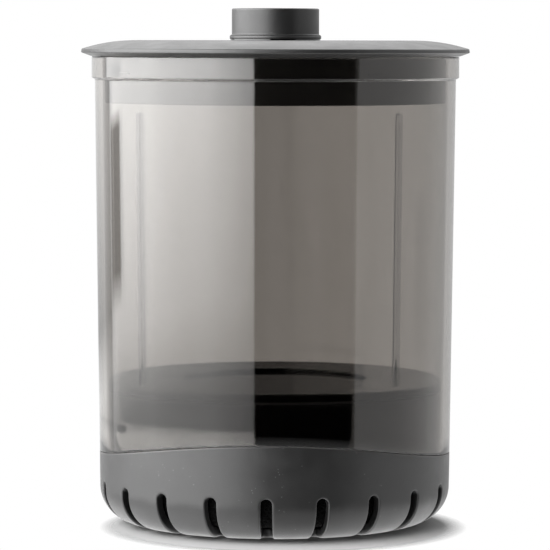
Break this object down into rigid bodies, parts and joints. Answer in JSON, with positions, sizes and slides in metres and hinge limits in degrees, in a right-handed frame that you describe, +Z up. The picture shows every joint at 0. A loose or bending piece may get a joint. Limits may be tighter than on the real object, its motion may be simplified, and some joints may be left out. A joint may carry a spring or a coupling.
{
  "type": "canister filter",
  "caption": "Small round canister filter: slotted dark bowl, smoked clear cup that lifts off it, and a plug-in lid with a swivelling outlet spigot.",
  "frame": {"origin": "on the canister's axis, at the level that it stands on", "axes": "+Z up along the canister's axis, -Y to the front, where the shoulder's arch is highest, +X to the right"},
  "size_m": [0.1112, 0.1112, 0.1476],
  "materials": {
    "bowl_plastic": "fine spark-eroded texture, matte dark grey",
    "inner_plastic": "smooth satin black",
    "lid_plastic": "smooth matte dark grey",
    "smoked_plastic": "polished smoked transparent plastic",
    "seal_rubber": "matte black rubber",
    "black_foam": "open-cell black foam",
    "white_foam": "fine white foam",
    "mesh_steel": "fine woven stainless mesh",
    "screw_steel": "stainless steel"
  },
  "bodies": {
    "base": {"base_bowl": "bowl_plastic", "plug_collar": "inner_plastic", "floor_gasket": "seal_rubber", "support_floor": "inner_plastic", "sponge_cage": "inner_plastic", "prefilter_sponge": "black_foam", "base_screws": "screw_steel", "rubber_feet": "seal_rubber"},
    "inlet": {"inlet_cap": "inner_plastic", "inlet_mesh": "mesh_steel", "mesh_clip_ring": "inner_plastic"},
    "cup": {"cup": "smoked_plastic"},
    "lid": {"lid_shell": "lid_plastic", "lid_gasket": "seal_rubber"},
    "pad_tray": {"pad_grid": "inner_plastic", "polishing_pad": "white_foam"},
    "spigot": {"outlet_spigot": "lid_plastic", "spigot_washer": "inner_plastic", "spigot_o_ring": "seal_rubber", "spigot_clip": "screw_steel"}
  },
  "joints": [
    {"name": "cup_lift", "type": "slide", "parent": "base", "child": "cup", "axis": [0, 0, 1], "range_m": [0, 0.06]},
    {"name": "lid_lift", "type": "slide", "parent": "cup", "child": "lid", "axis": [0, 0, 1], "range_m": [0, 0.04]},
    {"name": "spigot_swivel", "type": "hinge", "parent": "lid", "child": "spigot", "pos_m": [0, 0, 0.1385], "axis": [0, 0, 1], "continuous": true},
    {"name": "pad_grid_drop", "type": "slide", "parent": "lid", "child": "pad_tray", "axis": [0, 0, -1], "range_m": [0, 0.03]},
    {"name": "inlet_cap_lift", "type": "slide", "parent": "base", "child": "inlet", "axis": [0, 0, 1], "range_m": [0, 0.03]}
  ]
}
